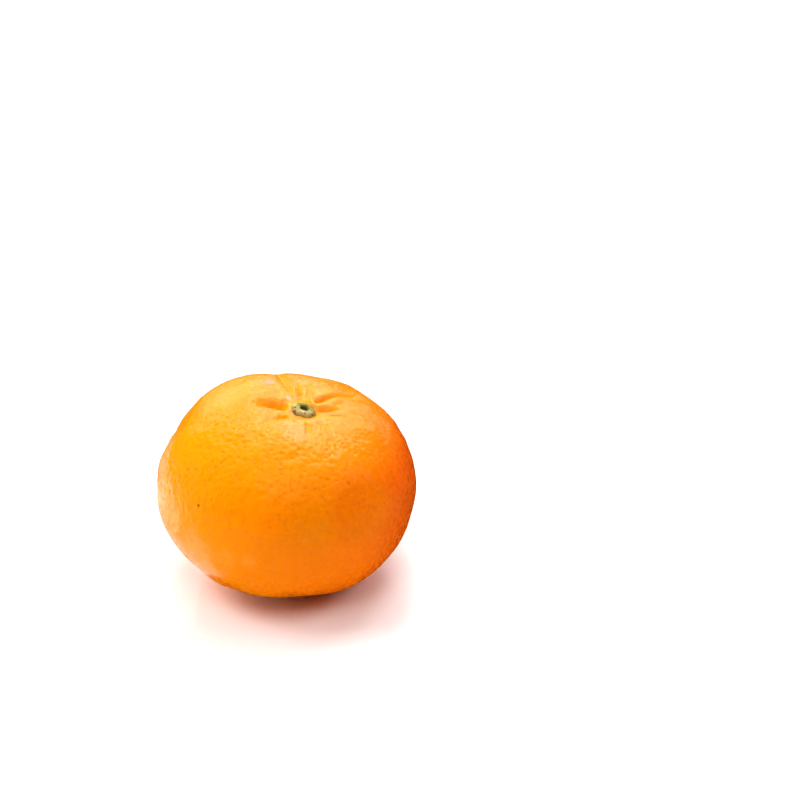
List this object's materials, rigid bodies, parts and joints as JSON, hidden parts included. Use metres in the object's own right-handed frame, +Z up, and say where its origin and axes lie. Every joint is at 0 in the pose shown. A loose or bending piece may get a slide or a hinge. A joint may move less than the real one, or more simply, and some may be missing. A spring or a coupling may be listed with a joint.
{
  "type": "sweet orange",
  "caption": "Whole sweet orange of the flattened, loose-skinned kind, with a furrowed basin at the stem end and the green calyx button left in it.",
  "frame": {"origin": "on the surface that the fruit rests on, under the middle of its bounding box", "axes": "+Z up, along the shortest extent; the stem end leans from +Z towards +X and slightly towards -Y, and -Y faces the viewer of the picture"},
  "size_m": [0.0724, 0.072, 0.0553],
  "materials": {
    "rind": "waxy orange citrus rind with a soft gloss, finely pitted by oil glands",
    "calyx": "dry, dull olive green and tan plant tissue, brown in the socket"
  },
  "bodies": {
    "root": {"fruit": "rind", "calyx": "calyx"}
  },
  "joints": []
}
